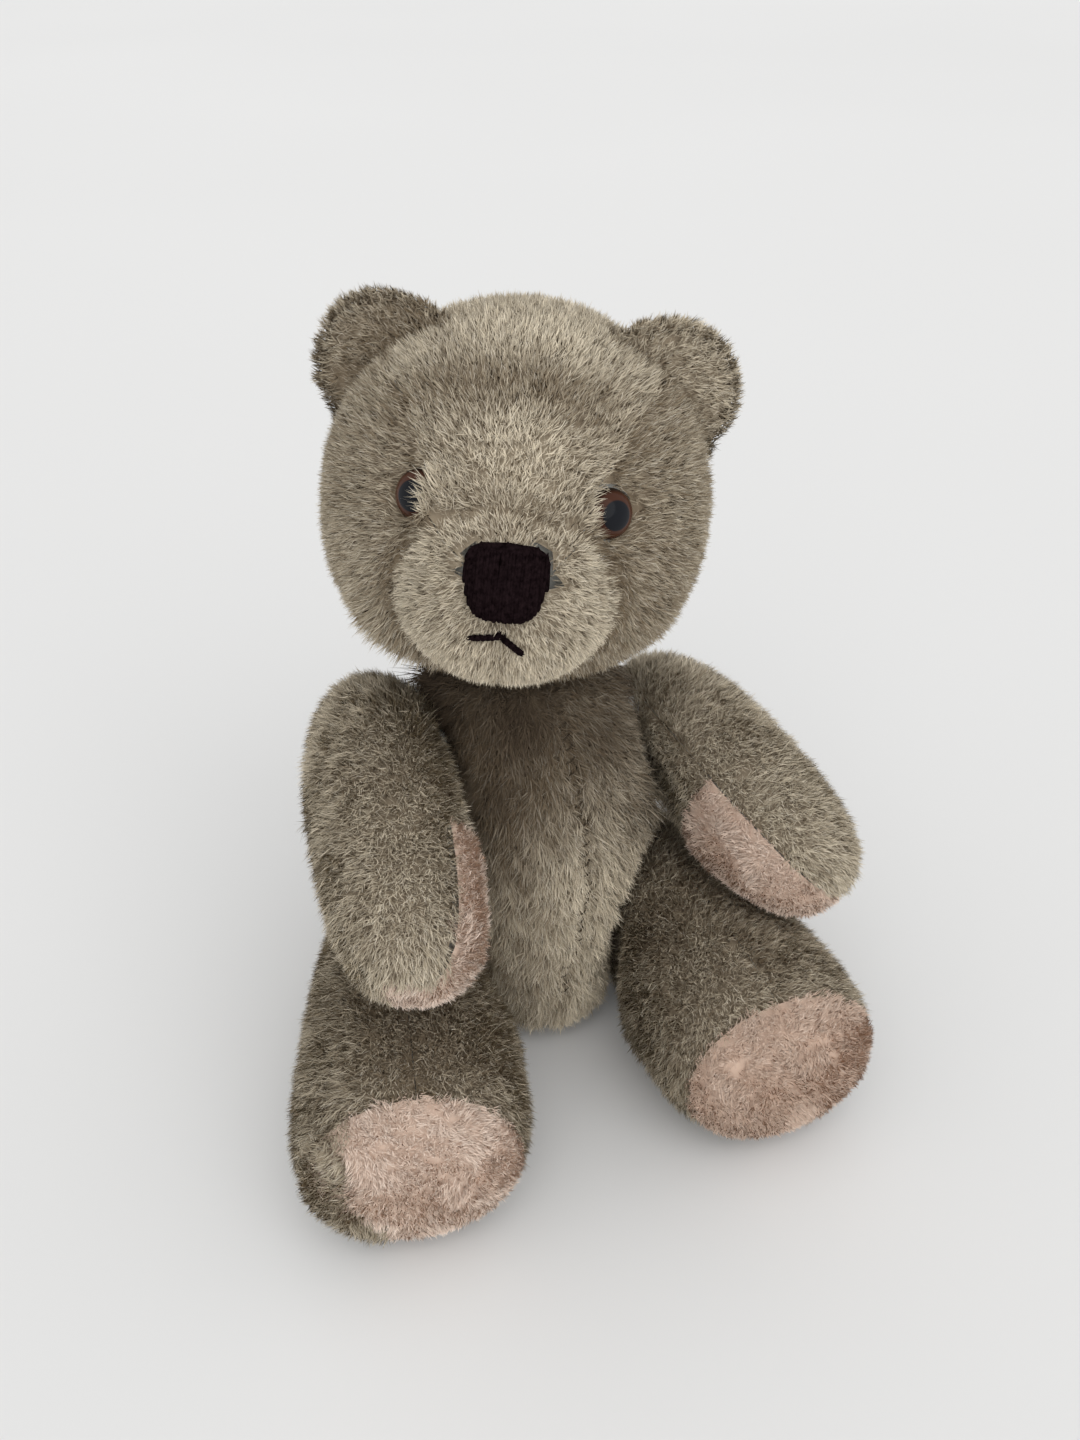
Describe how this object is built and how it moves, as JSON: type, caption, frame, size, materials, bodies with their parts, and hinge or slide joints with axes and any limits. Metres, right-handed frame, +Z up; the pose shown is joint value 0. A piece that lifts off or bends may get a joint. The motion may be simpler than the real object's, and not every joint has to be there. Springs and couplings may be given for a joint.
{
  "type": "jointed teddy bear",
  "caption": "Worn short-pile plush teddy bear, sitting, with pink pads, a stitched nose and disc joints at its neck, shoulders and hips.",
  "frame": {"origin": "midway under the bear's box, on the surface it sits on", "axes": "+Z up; the torso faces -Y; the bear's own left is +X"},
  "size_m": [0.1668, 0.1498, 0.2172],
  "materials": {
    "pile_cloth": "short grey-brown pile, matted and grubby",
    "pad_cloth": "short dusty pink pile, worn",
    "nose_thread": "satin stitched thread",
    "eye_plastic": "polished",
    "filling": "loose fibre",
    "joint_plastic": "moulded"
  },
  "bodies": {
    "arm_left": {"arm_left_inner": "pile_cloth", "arm_left_joint_disc": "joint_plastic", "arm_left_joint_lock_washer": "joint_plastic", "arm_left_outer": "pile_cloth", "arm_left_paw_pad": "pad_cloth", "arm_left_stuffing": "filling"},
    "torso": {"arm_left_joint_torso_disc": "joint_plastic", "arm_right_joint_torso_disc": "joint_plastic", "leg_left_joint_torso_disc": "joint_plastic", "leg_right_joint_torso_disc": "joint_plastic", "neck_joint_torso_disc": "joint_plastic", "torso_left": "pile_cloth", "torso_right": "pile_cloth", "torso_stuffing": "filling"},
    "arm_right": {"arm_right_inner": "pile_cloth", "arm_right_joint_disc": "joint_plastic", "arm_right_joint_lock_washer": "joint_plastic", "arm_right_outer": "pile_cloth", "arm_right_paw_pad": "pad_cloth", "arm_right_stuffing": "filling"},
    "head": {"ear_left_back": "pile_cloth", "ear_left_front": "pile_cloth", "ear_right_back": "pile_cloth", "ear_right_front": "pile_cloth", "eye_left": "eye_plastic", "eye_left_washer": "joint_plastic", "eye_right": "eye_plastic", "eye_right_washer": "joint_plastic", "head_gusset": "pile_cloth", "head_side_left": "pile_cloth", "head_side_right": "pile_cloth", "head_stuffing": "filling", "mouth": "nose_thread", "neck_joint_disc": "joint_plastic", "neck_joint_lock_washer": "joint_plastic", "nose": "nose_thread"},
    "leg_left": {"leg_left_foot_pad": "pad_cloth", "leg_left_inner": "pile_cloth", "leg_left_joint_disc": "joint_plastic", "leg_left_joint_lock_washer": "joint_plastic", "leg_left_outer": "pile_cloth", "leg_left_stuffing": "filling"},
    "leg_right": {"leg_right_foot_pad": "pad_cloth", "leg_right_inner": "pile_cloth", "leg_right_joint_disc": "joint_plastic", "leg_right_joint_lock_washer": "joint_plastic", "leg_right_outer": "pile_cloth", "leg_right_stuffing": "filling"}
  },
  "joints": [
    {"name": "neck_turn", "type": "hinge", "parent": "torso", "child": "head", "pos_m": [0.00149, 0.02605, 0.118], "axis": [0, 0, 1], "continuous": true},
    {"name": "arm_left_swing", "type": "hinge", "parent": "torso", "child": "arm_left", "pos_m": [0.03367, 0.02958, 0.08], "axis": [-0.9695, -0.1885, -0.1564], "range_deg": [0, 45]},
    {"name": "arm_right_swing", "type": "hinge", "parent": "torso", "child": "arm_right", "pos_m": [-0.02346, 0.0227, 0.0945], "axis": [-0.9871, 0.0345, 0.1564], "range_deg": [0, 45]},
    {"name": "leg_left_swing", "type": "hinge", "parent": "torso", "child": "leg_left", "pos_m": [0.01969, 0.029, 0.0275], "axis": [0.9989, 0.0471, 0], "range_deg": [0, 110]},
    {"name": "leg_right_swing", "type": "hinge", "parent": "torso", "child": "leg_right", "pos_m": [-0.01671, 0.02309, 0.0275], "axis": [0.9869, -0.1616, 0], "range_deg": [0, 110]}
  ]
}
